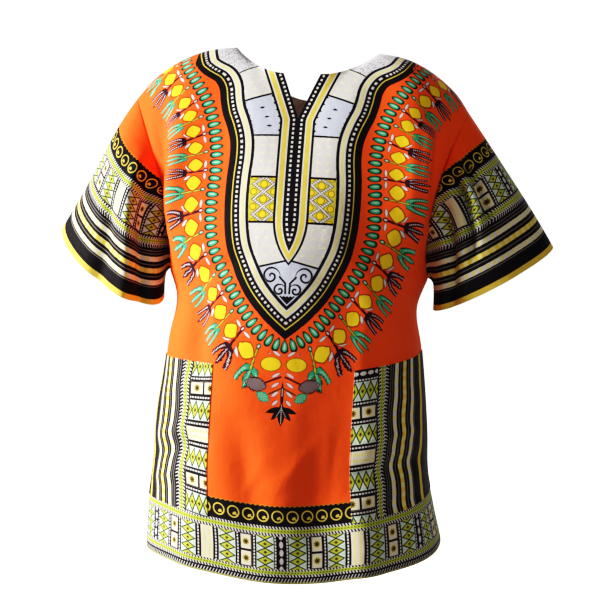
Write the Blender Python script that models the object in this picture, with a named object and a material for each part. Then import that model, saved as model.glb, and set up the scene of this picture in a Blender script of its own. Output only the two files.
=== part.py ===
# Pull-on shirt of printed cotton with short wide sleeves, in the hollow shape it has when it is worn.
# Metres, +Z up, front towards -Y. The origin is the middle of the neck, level with the two neck points,
# where the shirt hangs from the shoulders.

import math
from collections import namedtuple

import bmesh
import bpy
import numpy as np

# Cloth
WALL = 0.0015
SEAM_GAP = 0.0003

# Neck and shoulder
FRONT_NECK_DEPTH = 0.062
FRONT_NECK_DROP = 0.040
BACK_NECK_DEPTH = 0.066
BACK_NECK_DROP = 0.060
SLIT_HALF_WIDTH = 0.0255
SLIT_START = 0.75  # share of the way from the underarm to the neck where the slit ends
NECK_SHARE = 0.4  # share of each half panel's columns that end on the neckline
UNDERARM = -0.312

# Pockets
POCKET_EDGE = 0.094  # from the centre to the pocket's inner edge
POCKET_LIFT = 0.073  # from the hem to the pocket's lower edge
POCKET_TOP_INNER = -0.440
POCKET_TOP_RIGHT = -0.431
POCKET_TOP_LEFT = -0.412

# Rows and columns of each half panel, and of a sleeve
COLUMNS = 15
POCKET_COLUMN = 5
LOWER_ROWS = 17
POCKET_FIRST_ROW = 3
POCKET_LAST_ROW = 12
UPPER_ROWS = 16
SLEEVE_ROWS = 9

SQUARENESS = 2.3  # of the level sections: 2 is an ellipse
FOLD_FADE = 1 / 6  # share of a half panel or sleeve over which its folds fade towards a seam
TOP_FADE_ROWS = 3
FRONT, BACK = -1, 1
RIGHT, LEFT = -1, 1  # the wearer's

Section = namedtuple("Section", "height half_width centre front_depth back_depth")
SECTIONS = (
    Section(-0.725, 0.2090, 0.0110, 0.154, 0.148),
    Section(-0.680, 0.2065, 0.0095, 0.153, 0.147),
    Section(-0.630, 0.1995, 0.0040, 0.151, 0.145),
    Section(-0.580, 0.1920, 0.0005, 0.149, 0.142),
    Section(-0.530, 0.1895, 0.0000, 0.146, 0.138),
    Section(-0.410, 0.1770, 0.0000, 0.136, 0.126),
    Section(-0.350, 0.1690, 0.0000, 0.132, 0.121),
    Section(UNDERARM, 0.1820, 0.0000, 0.132, 0.121),
)

# Heights of the hem from the centre, share 0, to the side seams.
Hem = namedtuple("Hem", "share front_right front_left back_right back_left")
HEMS = (
    Hem(0.0, -0.7220, -0.7220, -0.7150, -0.7150),
    Hem(0.3, -0.7150, -0.7140, -0.7110, -0.7090),
    Hem(0.6, -0.7045, -0.6980, -0.7050, -0.6960),
    Hem(1.0, -0.7000, -0.6740, -0.7000, -0.6740),
)

# The shoulder seam from the neck point, share 0, to the top of the armhole. The right one sits higher.
Shoulder = namedtuple("Shoulder", "share right_out right_height left_out left_height")
SHOULDERS = (
    Shoulder(0.0, 0.101, 0.0040, 0.101, 0.0000),
    Shoulder(0.3, 0.146, -0.0035, 0.144, -0.0085),
    Shoulder(0.6, 0.189, -0.0230, 0.185, -0.0310),
    Shoulder(0.8, 0.217, -0.0440, 0.211, -0.0540),
    Shoulder(1.0, 0.240, -0.0715, 0.230, -0.0810),
)

# How the cloth leaves its first line and arrives at its last, as the ends of a smooth curve between them.
# Out is away from the middle. Ahead is away from the side seams: forwards on the front, backwards on the back.
Pull = namedtuple("Pull", "share leave_out leave_ahead leave_up arrive_out arrive_ahead arrive_up")
FRONT_PULLS = (
    Pull(0.0, 0.00, 0.02, 0.27, 0.00, -0.11, 0.25),
    Pull(0.4, 0.00, 0.02, 0.30, 0.00, -0.22, 0.01),
    Pull(0.7, 0.01, 0.15, 0.26, 0.01, -0.24, 0.01),
    Pull(1.0, -0.06, 0.20, 0.22, 0.02, -0.19, 0.02),
)
BACK_PULLS = (
    Pull(0.0, 0.00, 0.03, 0.28, 0.00, -0.09, 0.22),
    Pull(0.4, 0.00, 0.04, 0.30, 0.00, -0.22, 0.01),
    Pull(0.7, 0.01, 0.16, 0.26, 0.01, -0.25, 0.01),
    Pull(1.0, -0.06, 0.21, 0.22, 0.02, -0.20, 0.02),
)
# The same for a sleeve, from its underarm seam, share 0, up to the shoulder, share 1.
SLEEVE_PULLS = (
    Pull(0.00, 0.035, 0.00, -0.010, 0.000, 0.00, -0.050),
    Pull(0.25, 0.070, 0.05, -0.050, 0.020, -0.01, -0.120),
    Pull(0.50, 0.140, 0.09, -0.100, 0.080, -0.02, -0.190),
    Pull(1.00, 0.122, 0.00, -0.170, 0.110, 0.00, -0.180),
)

# The open end of a sleeve: its middle, its half length up towards the outer corner, its half depth and how
# far its front edge dips.
SleeveEnd = namedtuple("SleeveEnd", "side out height reach rise half_depth dip")
SLEEVE_ENDS = (
    SleeveEnd(RIGHT, 0.267, -0.307, 0.0765, 0.043, 0.062, 0.041),
    SleeveEnd(LEFT, 0.272, -0.308, 0.0810, 0.045, 0.063, 0.020),
)

# Folds of the body: a soft trough, or a ridge where the depth is positive, from its top to its foot.
Fold = namedtuple("Fold", "panel top_x top_z foot_x foot_z half_width depth")
FOLDS = (
    Fold(FRONT, -0.120, -0.335, -0.123, -0.440, 0.016, -0.0060),
    Fold(FRONT, 0.119, -0.385, 0.121, -0.445, 0.015, -0.0050),
    Fold(FRONT, -0.150, -0.330, -0.060, -0.300, 0.016, -0.0040),
    Fold(FRONT, 0.155, -0.325, 0.085, -0.275, 0.015, -0.0040),
    Fold(FRONT, -0.178, -0.230, -0.183, -0.110, 0.014, 0.0050),
    Fold(FRONT, 0.176, -0.250, 0.180, -0.120, 0.013, 0.0050),
    Fold(FRONT, -0.055, -0.520, -0.030, -0.640, 0.020, -0.0050),
    Fold(FRONT, 0.040, -0.500, 0.055, -0.650, 0.022, -0.0040),
    Fold(FRONT, -0.170, -0.565, -0.105, -0.545, 0.018, -0.0045),
    Fold(FRONT, 0.175, -0.560, 0.115, -0.575, 0.018, -0.0045),
    Fold(FRONT, -0.110, -0.640, -0.120, -0.722, 0.024, 0.0050),
    Fold(FRONT, 0.110, -0.620, 0.125, -0.722, 0.026, 0.0060),
    Fold(FRONT, 0.005, -0.640, 0.000, -0.722, 0.030, 0.0040),
    Fold(BACK, -0.045, -0.180, -0.030, -0.400, 0.022, -0.0050),
    Fold(BACK, 0.060, -0.210, 0.040, -0.440, 0.024, -0.0060),
    Fold(BACK, -0.150, -0.330, -0.080, -0.285, 0.016, -0.0050),
    Fold(BACK, 0.150, -0.330, 0.090, -0.300, 0.016, -0.0050),
    Fold(BACK, -0.090, -0.480, -0.110, -0.716, 0.024, -0.0070),
    Fold(BACK, 0.020, -0.540, 0.010, -0.716, 0.026, -0.0060),
    Fold(BACK, 0.120, -0.500, 0.135, -0.716, 0.022, -0.0060),
    Fold(BACK, -0.040, -0.600, -0.045, -0.716, 0.024, 0.0060),
    Fold(BACK, 0.075, -0.580, 0.080, -0.716, 0.024, 0.0060),
)

# Folds of a sleeve, in degrees round it from the underarm seam, forwards first, and in shares of its length.
SleeveFold = namedtuple("SleeveFold", "side start_turn start_along end_turn end_along half_width depth")
SLEEVE_FOLDS = (
    SleeveFold(RIGHT, 78, 0.15, 58, 0.95, 11, -0.0060),
    SleeveFold(RIGHT, 100, 0.30, 88, 0.90, 12, 0.0040),
    SleeveFold(RIGHT, 125, 0.45, 118, 1.00, 12, -0.0040),
    SleeveFold(RIGHT, 250, 0.20, 265, 0.90, 13, -0.0060),
    SleeveFold(RIGHT, 225, 0.40, 230, 1.00, 12, -0.0040),
    SleeveFold(LEFT, 70, 0.10, 55, 0.80, 10, -0.0060),
    SleeveFold(LEFT, 96, 0.08, 88, 0.55, 10, -0.0050),
    SleeveFold(LEFT, 118, 0.08, 112, 0.50, 9, -0.0040),
    SleeveFold(LEFT, 140, 0.50, 128, 1.00, 12, -0.0030),
    SleeveFold(LEFT, 262, 0.15, 275, 0.85, 13, -0.0060),
    SleeveFold(LEFT, 230, 0.40, 236, 1.00, 12, -0.0040),
)

Finish = namedtuple("Finish", "red green blue roughness")
ORANGE_COTTON = Finish(0.86, 0.11, 0.02, 0.80)
BORDER_COTTON = Finish(0.36, 0.30, 0.10, 0.80)


def side_name(side):
    return "right" if side == RIGHT else "left"


def column_of(table, name):
    return np.array([getattr(row, name) for row in table])


def ease(start, leave, end, arrive, share):
    """A smooth curve from start to end that leaves and arrives with the given tangents."""
    square = share * share
    cube = square * share
    return (
        (2 * cube - 3 * square + 1) * start
        + (cube - 2 * square + share) * leave
        + (3 * square - 2 * cube) * end
        + (cube - square) * arrive
    )


def along(table, key, name, place, mirrored=False):
    """One column of a table, read smoothly at any place on the key column. A mirrored one starts level."""
    keys = column_of(table, key)
    values = column_of(table, name)
    slopes = np.gradient(values, keys)
    if mirrored:
        slopes[0] = 0.0
    before = np.clip(np.searchsorted(keys, place, side="right") - 1, 0, len(keys) - 2)
    step = keys[before + 1] - keys[before]
    share = np.clip((place - keys[before]) / step, 0.0, 1.0)
    return ease(
        values[before], slopes[before] * step, values[before + 1], slopes[before + 1] * step, share
    )


def section_point(side, facing, share, height):
    """A point of the body below the underarm, from its share of the way to the side seam and its height."""
    half_width = along(SECTIONS, "height", "half_width", height)
    centre = along(SECTIONS, "height", "centre", height)
    depth = along(SECTIONS, "height", "front_depth" if facing == FRONT else "back_depth", height)
    pocket_share = POCKET_COLUMN / COLUMNS
    pocket_angle = np.arcsin((POCKET_EDGE / half_width) ** (SQUARENESS / 2))
    angle = np.where(
        share < pocket_share,
        share / pocket_share * pocket_angle,
        pocket_angle + (share - pocket_share) / (1 - pocket_share) * (math.pi / 2 - pocket_angle),
    )
    out = np.sin(angle) ** (2 / SQUARENESS)
    ahead = np.clip(np.cos(angle), 0.0, 1.0) ** (2 / SQUARENESS)
    return np.stack([centre + side * half_width * out, facing * depth * ahead, height], axis=-1)


def row_height(side, facing, share, row):
    """Height of each row below the underarm: the pocket's edges lie on rows."""
    panel = "front_" if facing == FRONT else "back_"
    hem = along(HEMS, "share", panel + side_name(side), share, mirrored=True)
    pocket_seam = POCKET_TOP_RIGHT if side == RIGHT else POCKET_TOP_LEFT
    inner = POCKET_COLUMN / COLUMNS
    slope = np.clip((share - inner) / (1 - inner), 0.0, 1.0)
    pocket_top = POCKET_TOP_INNER + (pocket_seam - POCKET_TOP_INNER) * slope
    rows = (0, POCKET_FIRST_ROW, POCKET_LAST_ROW, LOWER_ROWS)
    edges = (hem, hem + POCKET_LIFT, pocket_top, np.full_like(share, UNDERARM))
    height = np.array(edges[-1])
    for first, last, low, high in zip(rows, rows[1:], edges, edges[1:]):
        inside = (row >= first) & (row < last)
        height = np.where(inside, low + (high - low) * (row - first) / (last - first), height)
    return height


def pulls_at(table, share, side, facing):
    """The leaving and arriving tangents at a share, turned to this side and panel."""
    columns = [along(table, "share", name, share, mirrored=True) for name in Pull._fields[1:]]
    leave = np.stack([side * columns[0], facing * columns[1], columns[2]], axis=-1)
    arrive = np.stack([side * columns[3], facing * columns[4], columns[5]], axis=-1)
    return leave, arrive


def top_line(side, facing, share):
    """The neckline from its middle to the neck point, and then the shoulder seam."""
    neck = np.clip(share / NECK_SHARE, 0.0, 1.0)
    depth, drop = (
        (FRONT_NECK_DEPTH, FRONT_NECK_DROP) if facing == FRONT else (BACK_NECK_DEPTH, BACK_NECK_DROP)
    )
    seam = np.clip((share - NECK_SHARE) / (1 - NECK_SHARE), 0.0, 1.0)
    out = neck * along(SHOULDERS, "share", side_name(side) + "_out", seam)
    height = neck * along(SHOULDERS, "share", side_name(side) + "_height", seam)
    bow = 1 - neck**2
    return np.stack([side * out, facing * depth * bow, height - drop * bow], axis=-1)


def half_panel(side, facing):
    """Points of one half of the front or back, rows from the hem up and columns from the centre out."""
    share = np.arange(COLUMNS + 1) / COLUMNS
    rows = np.arange(LOWER_ROWS)[:, None]
    shares = np.broadcast_to(share, (LOWER_ROWS, COLUMNS + 1))
    lower = section_point(side, facing, shares, row_height(side, facing, shares, rows))
    start = section_point(side, facing, share, np.full_like(share, UNDERARM))
    leave, arrive = pulls_at(FRONT_PULLS if facing == FRONT else BACK_PULLS, share, side, facing)
    rise = (np.arange(UPPER_ROWS + 1) / UPPER_ROWS)[:, None, None]
    upper = ease(start, leave, top_line(side, facing, share), arrive, rise)
    if facing == FRONT:
        opening = np.clip((rise[:, :, 0] - SLIT_START) / (1 - SLIT_START), 0.0, 1.0)
        upper[:, :, 0] += side * SLIT_HALF_WIDTH * opening * np.clip(1 - share / NECK_SHARE, 0.0, 1.0)
    return np.concatenate([lower, upper])


def unit(vectors):
    return vectors / np.linalg.norm(vectors, axis=-1, keepdims=True)


def grid_normals(points, turn):
    across = np.gradient(points, axis=1)
    up = np.gradient(points, axis=0)
    return unit(turn * np.cross(across, up))


def panel_normals(points, side, facing):
    """Outward directions. Along the centre, side seam and shoulder seam both neighbours share them."""
    normals = grid_normals(points, -side * facing)
    up = np.gradient(points, axis=0)
    level = np.zeros(len(points))
    centre = up[:, 0]
    normals[:, 0] = unit(np.stack([level, facing * centre[:, 2], -facing * centre[:, 1]], axis=-1))
    seam = up[: LOWER_ROWS + 1, -1]
    flat = level[: LOWER_ROWS + 1]
    normals[: LOWER_ROWS + 1, -1] = unit(np.stack([side * seam[:, 2], flat, -side * seam[:, 0]], axis=-1))
    first = round(NECK_SHARE * COLUMNS)
    shoulder = np.gradient(points[-1], axis=0)[first:]
    none = np.zeros(len(shoulder))
    normals[-1, first:] = unit(np.stack([-side * shoulder[:, 2], none, side * shoulder[:, 0]], axis=-1))
    return normals


def sleeve_loop(front, back):
    """The armhole, from the underarm up the front to the shoulder and down the back to the underarm."""
    return np.concatenate([front[LOWER_ROWS:, -1], back[-2 : LOWER_ROWS - 1 : -1, -1]])


def sleeve_tube(end, armhole):
    """Points of a sleeve, rows from the armhole to the hem and columns round it from the underarm seam."""
    count = len(armhole)
    turn = np.arange(count) / (count - 1) * 2 * math.pi
    middle = np.array([end.side * end.out, 0.0, end.height])
    reach = np.array([end.side * end.reach, 0.0, end.rise])
    ahead = np.array([-end.side * end.dip / 3, -end.half_depth, -end.dip])
    hem = middle - np.cos(turn)[:, None] * reach + np.sin(turn)[:, None] * ahead
    share = 1 - np.abs(turn / math.pi - 1)
    facing = np.where(turn <= math.pi, FRONT, BACK)
    leave, arrive = pulls_at(SLEEVE_PULLS, share, end.side, facing)
    down = (np.arange(SLEEVE_ROWS + 1) / SLEEVE_ROWS)[:, None, None]
    return ease(armhole, leave, hem, arrive, down)


def distance_to_line(x, y, start, end):
    """Distance from each place to the stretch between two others."""
    step = np.subtract(end, start)
    share = np.clip(((x - start[0]) * step[0] + (y - start[1]) * step[1]) / (step @ step), 0.0, 1.0)
    return np.hypot(x - start[0] - share * step[0], y - start[1] - share * step[1])


def panel_folds(points, side, facing):
    """How far each point of a half panel stands out or in; nothing at its seams."""
    height = np.zeros(points.shape[:2])
    for fold in FOLDS:
        if fold.panel == facing:
            away = distance_to_line(
                points[:, :, 0], points[:, :, 2], (fold.top_x, fold.top_z), (fold.foot_x, fold.foot_z)
            )
            height += fold.depth * np.exp(-((away / fold.half_width) ** 2))
    share = np.arange(COLUMNS + 1) / COLUMNS
    row = np.arange(len(points))[:, None]
    to_seam = np.clip((1 - share) / FOLD_FADE, 0.0, 1.0)
    to_top = np.clip((len(points) - 1 - row) / TOP_FADE_ROWS, 0.0, 1.0)
    return height * to_seam * to_top


def sleeve_folds(count, side):
    turn = np.arange(count) / (count - 1) * 360
    down = (np.arange(SLEEVE_ROWS + 1) / SLEEVE_ROWS)[:, None]
    height = np.zeros((SLEEVE_ROWS + 1, count))
    for fold in SLEEVE_FOLDS:
        if fold.side == side:
            centre = fold.start_turn + (fold.end_turn - fold.start_turn) * down
            begun = np.clip((down - fold.start_along) / FOLD_FADE, 0.0, 1.0)
            ended = np.clip((fold.end_along - down) / FOLD_FADE + 1, 0.0, 1.0)
            height += fold.depth * begun * ended * np.exp(-(((turn - centre) / fold.half_width) ** 2))
    return height * np.clip(down / FOLD_FADE, 0.0, 1.0)


def cloth(name, sheets, finish):
    """One closed piece of cloth. Each sheet is a grid of outer points and one of inner points, and sheets
    that share an edge are joined there."""
    shell = bmesh.new()
    sheet_of = shell.verts.layers.int.new("sheet")
    row_of = shell.verts.layers.int.new("row")
    column_at = shell.verts.layers.int.new("column")
    for number, (outer, _) in enumerate(sheets):
        rows, columns = outer.shape[0] - 1, outer.shape[1] - 1
        made = bmesh.ops.create_grid(shell, x_segments=columns, y_segments=rows, size=0.5)
        for vert in made["verts"]:
            row = round((vert.co.y + 0.5) * rows)
            column = round((vert.co.x + 0.5) * columns)
            vert[sheet_of], vert[row_of], vert[column_at] = number, row, column
            vert.co = outer[row, column]
    bmesh.ops.remove_doubles(shell, verts=shell.verts, dist=1e-6)
    bmesh.ops.triangulate(shell, faces=shell.faces, quad_method="FIXED")
    wall = bmesh.ops.extrude_face_region(shell, geom=shell.faces[:], use_keep_orig=True)
    for vert in wall["geom"]:
        if isinstance(vert, bmesh.types.BMVert):
            vert.co = sheets[vert[sheet_of]][1][vert[row_of], vert[column_at]]
    bmesh.ops.recalc_face_normals(shell, faces=shell.faces)
    mesh = bpy.data.meshes.new(name)
    shell.to_mesh(mesh)
    shell.free()
    mesh.shade_smooth()
    mesh.set_sharp_from_angle(angle=math.radians(50))
    material = bpy.data.materials.new(name + "_cotton")
    material.use_nodes = True
    surface = material.node_tree.nodes["Principled BSDF"]
    surface.inputs["Base Color"].default_value = (finish.red, finish.green, finish.blue, 1.0)
    surface.inputs["Roughness"].default_value = finish.roughness
    surface.inputs["Metallic"].default_value = 0.0
    mesh.materials.append(material)
    bpy.context.scene.collection.objects.link(bpy.data.objects.new(name, mesh))


for old in list(bpy.data.objects):
    bpy.data.objects.remove(old, do_unlink=True)

points = {(side, facing): half_panel(side, facing) for side in (RIGHT, LEFT) for facing in (FRONT, BACK)}
normals = {(side, facing): panel_normals(grid, side, facing) for (side, facing), grid in points.items()}

for end in SLEEVE_ENDS:
    front, back = (end.side, FRONT), (end.side, BACK)
    armhole = sleeve_loop(points[front], points[back])
    tube = sleeve_tube(end, armhole)
    tube_normals = grid_normals(tube, -end.side)
    tube_normals[:, 0] = tube_normals[:, -1] = unit(tube_normals[:, 0] + tube_normals[:, -1])
    # The sleeve and the body share one direction along the armhole, so their cut edges stay parallel.
    body = sleeve_loop(normals[front], normals[back])
    shared = unit(tube_normals[0] + body)
    tube_normals[0] = shared
    half = UPPER_ROWS + 1
    normals[front][LOWER_ROWS:, -1] = shared[:half]
    normals[back][LOWER_ROWS:, -1] = shared[: half - 2 : -1]
    outer = tube + tube_normals * sleeve_folds(len(armhole), end.side)[:, :, None]
    outer[0] += unit(outer[1] - outer[0]) * SEAM_GAP
    cloth("sleeve_" + side_name(end.side), [(outer, outer - WALL * tube_normals)], ORANGE_COTTON)

for facing, name in ((FRONT, "front"), (BACK, "back")):
    halves = []
    for side in (RIGHT, LEFT):
        grid, direction = points[side, facing], normals[side, facing]
        outer = grid + direction * panel_folds(grid, side, facing)[:, :, None]
        outer[:, :, 1] += facing * SEAM_GAP / 2
        points[side, facing] = outer
        halves.append((outer, outer - WALL * direction))
    cloth(name, halves, ORANGE_COTTON)

for side in (RIGHT, LEFT):
    patch = np.s_[POCKET_FIRST_ROW : POCKET_LAST_ROW + 1, POCKET_COLUMN:]
    under, direction = points[side, FRONT][patch], normals[side, FRONT][patch]
    inner = under + SEAM_GAP * direction
    cloth("pocket_" + side_name(side), [(inner + WALL * direction, inner)], BORDER_COTTON)
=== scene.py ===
import math
from collections import namedtuple

import bmesh
import bpy
import numpy as np
from mathutils import Matrix


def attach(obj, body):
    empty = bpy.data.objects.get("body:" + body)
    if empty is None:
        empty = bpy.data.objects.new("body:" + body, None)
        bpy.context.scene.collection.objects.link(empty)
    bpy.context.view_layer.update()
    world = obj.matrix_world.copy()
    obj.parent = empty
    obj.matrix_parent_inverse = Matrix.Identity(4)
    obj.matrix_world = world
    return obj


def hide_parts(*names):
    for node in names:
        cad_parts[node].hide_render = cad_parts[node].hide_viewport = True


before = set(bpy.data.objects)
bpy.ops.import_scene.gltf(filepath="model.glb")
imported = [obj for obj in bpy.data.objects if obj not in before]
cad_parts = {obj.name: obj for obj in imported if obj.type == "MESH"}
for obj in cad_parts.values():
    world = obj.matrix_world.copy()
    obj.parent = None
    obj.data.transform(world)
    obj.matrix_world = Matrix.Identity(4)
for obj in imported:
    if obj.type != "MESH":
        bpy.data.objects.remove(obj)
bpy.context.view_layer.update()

# Camera and studio
# A level camera 2.1 m in front, a little to the wearer's left, with a key lamp from the wearer's right,
# a fill lamp in front and a rim lamp behind. The room is white to the camera and dim to the cloth.
# The floor is a plain pale sheet below the hem, which the shirt hangs clear of.
CAMERA_TURN = math.radians(6)
CAMERA_ROLL = math.radians(2.4)
CAMERA_DISTANCE = 2.1
CAMERA_HEIGHT = -0.35
LENS_PIXELS = 1489
PICTURE_PIXELS = 600
FLOOR_HEIGHT = -0.80

sideways = np.array([math.cos(CAMERA_TURN), math.sin(CAMERA_TURN), 0.0])
away = np.array([-math.sin(CAMERA_TURN), math.cos(CAMERA_TURN), 0.0])
eye = np.array([0.0, 0.0, CAMERA_HEIGHT]) - CAMERA_DISTANCE * away + 0.0035 * sideways
camera = bpy.data.objects.new("camera", bpy.data.cameras.new("camera"))
camera.data.sensor_width = 36.0
camera.data.lens = 36.0 * LENS_PIXELS / PICTURE_PIXELS
camera.data.clip_start = 0.05
camera.data.clip_end = 60.0
camera.matrix_world = (
    Matrix.Translation(eye)
    @ Matrix.Rotation(CAMERA_TURN, 4, "Z")
    @ Matrix.Rotation(math.radians(90), 4, "X")
    @ Matrix.Rotation(CAMERA_ROLL, 4, "Z")
)
bpy.context.scene.collection.objects.link(camera)
bpy.context.scene.camera = camera

# The tones rise steeply in the middle and level off near white.
tones = bpy.context.scene.view_settings
tones.view_transform = "Standard"
tones.use_curve_mapping = True
for light in (0.02, 0.05, 0.1, 0.2, 0.3, 0.45, 0.6, 0.8):
    tones.curve_mapping.curves[3].points.new(light, 1.35 * light**1.5 / (light**1.5 + 0.339))
tones.curve_mapping.update()


def lamp(name, place, target, size, watts, colour):
    light = bpy.data.lights.new(name, "AREA")
    light.shape = "DISK"
    light.size = size
    light.energy = watts
    light.color = colour
    holder = bpy.data.objects.new(name, light)
    holder.location = place
    aim = np.subtract(target, place)
    turn = math.atan2(aim[1], aim[0]) - math.pi / 2
    tilt = math.atan2(np.hypot(aim[0], aim[1]), -aim[2])
    holder.rotation_euler = (tilt, 0.0, turn)
    bpy.context.scene.collection.objects.link(holder)


lamp("key", (-4.96, -1.52, 0.93), (0.0, 0.0, -0.33), 1.5, 590, (1.0, 0.985, 0.95))
lamp("fill", (1.2, -2.8, 0.1), (0.0, 0.0, -0.35), 2.0, 13.0, (1.0, 0.88, 0.78))
lamp("rim", (0.6, 2.2, 1.2), (0.0, 0.0, -0.30), 1.6, 18, (1.0, 1.0, 1.0))

world = bpy.data.worlds.new("studio")
world.use_nodes = True
world_nodes = world.node_tree
backdrop = world_nodes.nodes["Background"]
backdrop.inputs["Color"].default_value = (1.0, 1.0, 1.0, 1.0)
backdrop.inputs["Strength"].default_value = 1.0
room = world_nodes.nodes.new("ShaderNodeBackground")
room.inputs["Color"].default_value = (1.0, 0.93, 0.88, 1.0)
room.inputs["Strength"].default_value = 0.12
seen = world_nodes.nodes.new("ShaderNodeLightPath")
choose = world_nodes.nodes.new("ShaderNodeMixShader")
world_nodes.links.new(seen.outputs["Is Camera Ray"], choose.inputs[0])
world_nodes.links.new(room.outputs[0], choose.inputs[1])
world_nodes.links.new(backdrop.outputs[0], choose.inputs[2])
world_nodes.links.new(choose.outputs[0], world_nodes.nodes["World Output"].inputs["Surface"])
bpy.context.scene.world = world

sheet = bmesh.new()
bmesh.ops.create_circle(sheet, cap_ends=True, segments=96, radius=6.0)
bmesh.ops.translate(sheet, verts=sheet.verts, vec=(0.0, 0.0, FLOOR_HEIGHT))
floor_mesh = bpy.data.meshes.new("floor")
sheet.to_mesh(floor_mesh)
sheet.free()
floor = bpy.data.objects.new("floor", floor_mesh)
bpy.context.scene.collection.objects.link(floor)
floor_paint = bpy.data.materials.new("pale_floor")
floor_paint.use_nodes = True
floor_surface = floor_paint.node_tree.nodes["Principled BSDF"]
floor_surface.inputs["Base Color"].default_value = (0.92, 0.92, 0.92, 1.0)
floor_surface.inputs["Roughness"].default_value = 0.9
floor_surface.inputs["Emission Color"].default_value = (1.0, 1.0, 1.0, 1.0)
floor_surface.inputs["Emission Strength"].default_value = 0.95
floor_mesh.materials.append(floor_paint)
floor.visible_diffuse = False

# Front
# One panel of plain-weave cotton, printed with a yoke, a ring of leaves and fruit, and a hem border. The neck
# and slit are turned in and topstitched, and the hem is turned up once and stitched.
CLOTH = 0.0009
FINE = 6  # steps of the cloth's grid for each step of the solid's
SEAM_GAP = 0.0003
FRONT_NECK_DEPTH = 0.062
FRONT_NECK_DROP = 0.040
BACK_NECK_DEPTH = 0.066
BACK_NECK_DROP = 0.060
SLIT_HALF_WIDTH = 0.0255
SLIT_START = 0.75
NECK_SHARE = 0.4
UNDERARM = -0.312
POCKET_EDGE = 0.094
POCKET_LIFT = 0.073
POCKET_TOP_INNER = -0.440
POCKET_TOP_RIGHT = -0.431
POCKET_TOP_LEFT = -0.412
COLUMNS = 15
POCKET_COLUMN = 5
LOWER_ROWS = 17
POCKET_FIRST_ROW = 3
POCKET_LAST_ROW = 12
UPPER_ROWS = 16
SLEEVE_ROWS = 9
SQUARENESS = 2.3
FRONT, BACK = -1, 1
RIGHT, LEFT = -1, 1  # the wearer's

Section = namedtuple("Section", "height half_width centre front_depth back_depth")
SECTIONS = (
    Section(-0.725, 0.2090, 0.0110, 0.154, 0.148),
    Section(-0.680, 0.2065, 0.0095, 0.153, 0.147),
    Section(-0.630, 0.1995, 0.0040, 0.151, 0.145),
    Section(-0.580, 0.1920, 0.0005, 0.149, 0.142),
    Section(-0.530, 0.1895, 0.0000, 0.146, 0.138),
    Section(-0.410, 0.1770, 0.0000, 0.136, 0.126),
    Section(-0.350, 0.1690, 0.0000, 0.132, 0.121),
    Section(UNDERARM, 0.1820, 0.0000, 0.132, 0.121),
)
Hem = namedtuple("Hem", "share front_right front_left back_right back_left")
HEMS = (
    Hem(0.0, -0.7220, -0.7220, -0.7150, -0.7150),
    Hem(0.3, -0.7150, -0.7140, -0.7110, -0.7090),
    Hem(0.6, -0.7045, -0.6980, -0.7050, -0.6960),
    Hem(1.0, -0.7000, -0.6740, -0.7000, -0.6740),
)
Shoulder = namedtuple("Shoulder", "share right_out right_height left_out left_height")
SHOULDERS = (
    Shoulder(0.0, 0.101, 0.0040, 0.101, 0.0000),
    Shoulder(0.3, 0.146, -0.0035, 0.144, -0.0085),
    Shoulder(0.6, 0.189, -0.0230, 0.185, -0.0310),
    Shoulder(0.8, 0.217, -0.0440, 0.211, -0.0540),
    Shoulder(1.0, 0.240, -0.0715, 0.230, -0.0810),
)
Pull = namedtuple("Pull", "share leave_out leave_ahead leave_up arrive_out arrive_ahead arrive_up")
FRONT_PULLS = (
    Pull(0.0, 0.00, 0.02, 0.27, 0.00, -0.11, 0.25),
    Pull(0.4, 0.00, 0.02, 0.30, 0.00, -0.22, 0.01),
    Pull(0.7, 0.01, 0.15, 0.26, 0.01, -0.24, 0.01),
    Pull(1.0, -0.06, 0.20, 0.22, 0.02, -0.19, 0.02),
)
BACK_PULLS = (
    Pull(0.0, 0.00, 0.03, 0.28, 0.00, -0.09, 0.22),
    Pull(0.4, 0.00, 0.04, 0.30, 0.00, -0.22, 0.01),
    Pull(0.7, 0.01, 0.16, 0.26, 0.01, -0.25, 0.01),
    Pull(1.0, -0.06, 0.21, 0.22, 0.02, -0.20, 0.02),
)
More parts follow.
